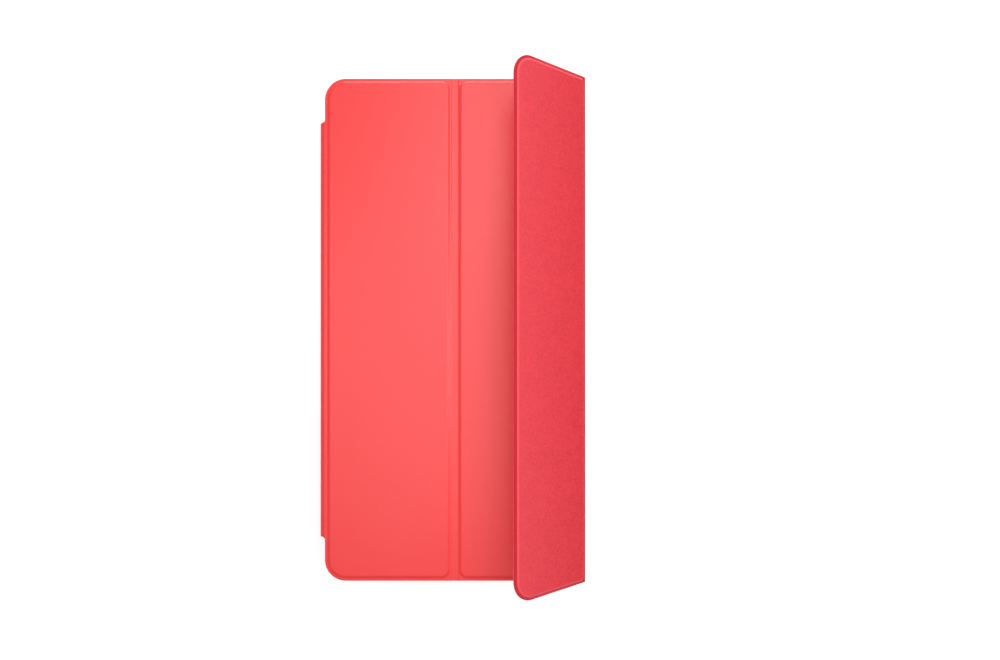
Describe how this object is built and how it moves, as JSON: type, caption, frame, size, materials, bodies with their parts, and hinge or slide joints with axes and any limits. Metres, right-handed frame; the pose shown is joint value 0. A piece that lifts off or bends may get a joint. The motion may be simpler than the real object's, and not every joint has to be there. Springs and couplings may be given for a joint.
{
  "type": "folding tablet cover",
  "caption": "Folding magnetic front cover for a tablet, with a magnetic hinge strip and stiff panels joined by living hinges, last panel folded back.",
  "frame": {"origin": "middle of the hinge strip's contact face, where the strip meets the tablet's side", "axes": "+X across the glass from hinge to free edge, +Y along the hinge, +Z out of the glass"},
  "size_m": [0.1266, 0.24, 0.037],
  "materials": {
    "outer_skin": "smooth satin polyurethane",
    "lining": "microfibre suede",
    "film": "heat-bonded adhesive film",
    "board": "glass-fibre laminate sheet",
    "carrier": "moulded, matt",
    "steel": "rolled strip",
    "magnet": "nickel plated"
  },
  "bodies": {
    "hinge_strip": {"hinge_sleeve": "outer_skin", "hinge_core": "carrier", "hinge_shunt_plate": "steel", "hinge_magnets_upper": "magnet", "hinge_magnets_lower": "magnet", "hinge_contact_strip": "lining"},
    "hinge_web": {"hinge_web_skin": "outer_skin", "hinge_web_lining": "lining"},
    "panel_1": {"panel_1_skin": "outer_skin", "panel_1_upper_film": "film", "panel_1_board": "board", "panel_1_latch_plate": "steel", "panel_1_lower_film": "film", "panel_1_lining": "lining"},
    "fold_1_web": {"fold_1_web_skin": "outer_skin", "fold_1_web_lining": "lining"},
    "panel_2": {"panel_2_skin": "outer_skin", "panel_2_upper_film": "film", "panel_2_board": "board", "panel_2_lower_film": "film", "panel_2_lining": "lining"},
    "fold_2_web": {"fold_2_web_skin": "outer_skin", "fold_2_web_lining": "lining"},
    "panel_3": {"panel_3_skin": "outer_skin", "panel_3_upper_film": "film", "panel_3_board": "board", "panel_3_edge_magnets": "magnet", "panel_3_wake_magnet": "magnet", "panel_3_lower_film": "film", "panel_3_lining": "lining"}
  },
  "joints": [
    {"name": "strip_to_web", "type": "hinge", "parent": "hinge_strip", "child": "hinge_web", "pos_m": [-0.00217, 0, 0], "axis": [0, -1, 0], "range_deg": [0, 180]},
    {"name": "web_to_panel_1", "type": "hinge", "parent": "hinge_web", "child": "panel_1", "pos_m": [-0.00217, 0, 0.00405], "axis": [0, -1, 0], "range_deg": [0, 180]},
    {"name": "fold_1", "type": "hinge", "parent": "panel_1", "child": "fold_1_web", "pos_m": [0.06125, 0, 0.00405], "axis": [0, -1, 0], "range_deg": [0, 65]},
    {"name": "fold_1_far", "type": "hinge", "parent": "fold_1_web", "child": "panel_2", "pos_m": [0.06315, 0, 0.00405], "axis": [0, -1, 0], "range_deg": [0, 65]},
    {"name": "fold_2", "type": "hinge", "parent": "panel_2", "child": "fold_2_web", "pos_m": [0.12325, 0, 0.00405], "axis": [0, -1, 0], "range_deg": [-70, 14]},
    {"name": "fold_2_far", "type": "hinge", "parent": "fold_2_web", "child": "panel_3", "pos_m": [0.1239, 0, 0.00584], "axis": [0, -1, 0], "range_deg": [-70, 14]}
  ],
  "couplings": [
    {"joint": "fold_1_far", "follows": "fold_1", "ratio": 1},
    {"joint": "fold_2_far", "follows": "fold_2", "ratio": 1}
  ]
}
